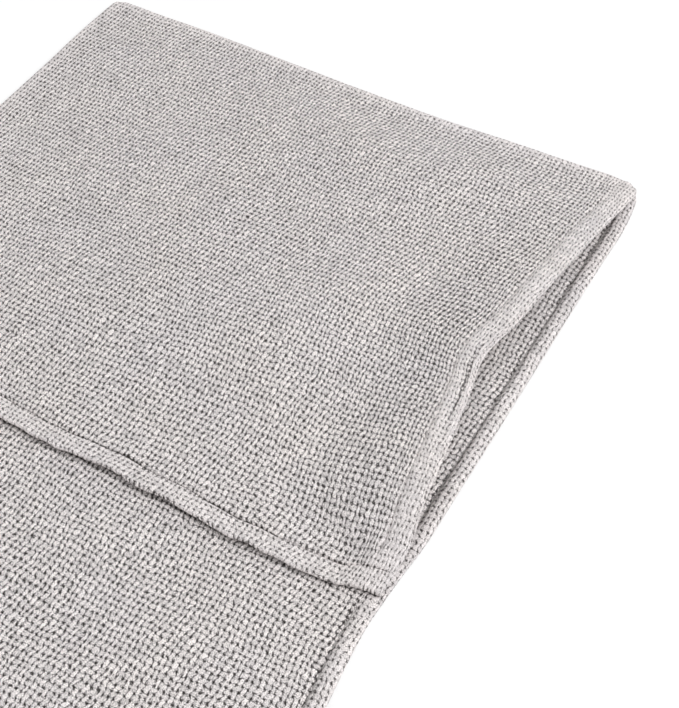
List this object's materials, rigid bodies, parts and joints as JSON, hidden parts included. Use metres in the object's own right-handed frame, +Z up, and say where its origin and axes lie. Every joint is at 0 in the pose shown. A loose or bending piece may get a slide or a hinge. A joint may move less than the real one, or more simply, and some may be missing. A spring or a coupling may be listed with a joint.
{
  "type": "sofa armrest organizer",
  "caption": "Flat cloth strip that drapes over a sofa arm, with a side-entry tablet pocket at one end and a row of patch pockets at the other.",
  "frame": {"origin": "on the ground under the middle of the armrest panel, with the strip laid flat", "axes": "+X across the strip to the edge that holds the tablet pocket's mouth, +Y along the strip to the tablet pocket's end, +Z up from the cloth"},
  "size_m": [0.3, 0.9, 0.0278],
  "materials": {
    "upholstery_cloth": "coarse plain weave of thick greige and white yarn, matt",
    "lining_cloth": "fine plain weave, matt, with small rubber grips"
  },
  "bodies": {
    "armrest": {"armrest_panel": "upholstery_cloth", "armrest_lining": "lining_cloth", "tablet_fold": "upholstery_cloth", "remote_fold": "upholstery_cloth"},
    "tablet_end": {"tablet_end_panel": "upholstery_cloth", "tablet_end_lining": "lining_cloth", "tablet_pocket_front": "upholstery_cloth"},
    "remote_end": {"remote_end_panel": "upholstery_cloth", "remote_end_lining": "lining_cloth", "glasses_pocket": "upholstery_cloth", "phone_pocket": "upholstery_cloth", "remote_pocket": "upholstery_cloth"}
  },
  "joints": [
    {"name": "tablet_end_drape", "type": "hinge", "parent": "armrest", "child": "tablet_end", "pos_m": [0, 0.146, 0.00165], "axis": [-1, 0, 0], "range_deg": [-90, 90], "deforming": ["tablet_fold"]},
    {"name": "remote_end_drape", "type": "hinge", "parent": "armrest", "child": "remote_end", "pos_m": [0, -0.146, 0.00165], "axis": [1, 0, 0], "range_deg": [-90, 90], "deforming": ["remote_fold"]}
  ]
}
